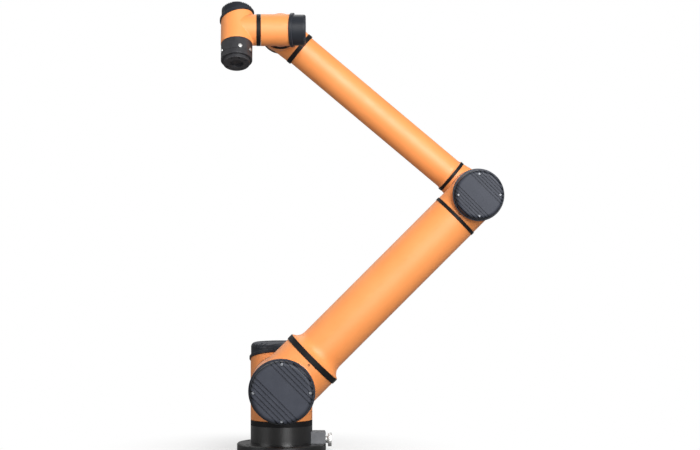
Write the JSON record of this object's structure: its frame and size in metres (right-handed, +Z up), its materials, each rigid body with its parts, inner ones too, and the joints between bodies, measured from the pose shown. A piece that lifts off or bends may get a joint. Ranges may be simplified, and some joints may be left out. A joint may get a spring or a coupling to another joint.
{
  "type": "six-axis industrial robot arm",
  "caption": "Jointed robot arm with orange tubes and housings, black ribbed end caps and rings, on a round bolted black base, with an offset wrist and a round tool flange.",
  "frame": {"origin": "centre of the base foot's bottom face, on the axis of joint 1", "axes": "+Z up along the axis of joint 1; -Y towards the side that the upper arm and the wrist stand on; +X towards the base's cable connector"},
  "size_m": [0.664, 0.4073, 1.0741],
  "materials": {
    "orange_paint": "satin powder coat",
    "cap_plastic": "moulded with straight ribs",
    "ring_black": "semi-matt",
    "base_black": "satin black coat",
    "block_grey": "satin grey coat",
    "plated_metal": "nickel plated",
    "tool_anodised": "black anodised"
  },
  "bodies": {
    "base": {"base_foot": "base_black", "base_column": "base_black", "joint_1_ring": "ring_black", "base_connector_block": "block_grey", "base_connector": "plated_metal"},
    "shoulder": {"shoulder_housing": "orange_paint", "shoulder_cap": "cap_plastic", "joint_2_ring": "ring_black"},
    "upper_arm": {"upper_arm_housing": "orange_paint", "upper_arm_cap": "cap_plastic", "upper_arm_lower_ring": "ring_black", "upper_arm_tube": "orange_paint", "upper_arm_upper_ring": "ring_black", "elbow_housing": "orange_paint", "elbow_cap": "cap_plastic"},
    "forearm": {"joint_3_ring": "ring_black", "forearm_housing": "orange_paint", "forearm_lower_ring": "ring_black", "forearm_tube": "orange_paint", "forearm_upper_ring": "ring_black", "wrist_1_housing": "orange_paint", "wrist_1_cap": "cap_plastic"},
    "wrist_2": {"joint_4_ring": "ring_black", "wrist_2_housing": "orange_paint", "wrist_2_cap": "cap_plastic"},
    "wrist_3": {"joint_5_ring": "ring_black", "wrist_3_housing": "orange_paint", "wrist_3_cap": "cap_plastic"},
    "tool_end": {"tool_collar": "tool_anodised", "tool_sockets": "plated_metal", "tool_flange": "tool_anodised"}
  },
  "joints": [
    {"name": "joint_1_turn", "type": "hinge", "parent": "base", "child": "shoulder", "pos_m": [0, 0, 0.073], "axis": [0, 0, 1], "range_deg": [-175, 175]},
    {"name": "joint_2_swing", "type": "hinge", "parent": "shoulder", "child": "upper_arm", "pos_m": [0, -0.11135, 0.1632], "axis": [0, 1, 0], "range_deg": [-220, 130]},
    {"name": "joint_3_bend", "type": "hinge", "parent": "upper_arm", "child": "forearm", "pos_m": [0.4575, -0.14075, 0.6207], "axis": [0, 1, 0], "range_deg": [-60, 250]},
    {"name": "joint_4_bend", "type": "hinge", "parent": "forearm", "child": "wrist_2", "pos_m": [-0.00251, -0.13925, 1.00669], "axis": [0, 1, 0], "range_deg": [-135, 215]},
    {"name": "joint_5_turn", "type": "hinge", "parent": "wrist_2", "child": "wrist_3", "pos_m": [-0.04906, -0.2013, 1.00669], "axis": [1, 0, 0], "range_deg": [-175, 175]},
    {"name": "joint_6_spin", "type": "hinge", "parent": "wrist_3", "child": "tool_end", "pos_m": [-0.10501, -0.22198, 0.97088], "axis": [0, -0.5, -0.866], "range_deg": [-175, 175]}
  ]
}
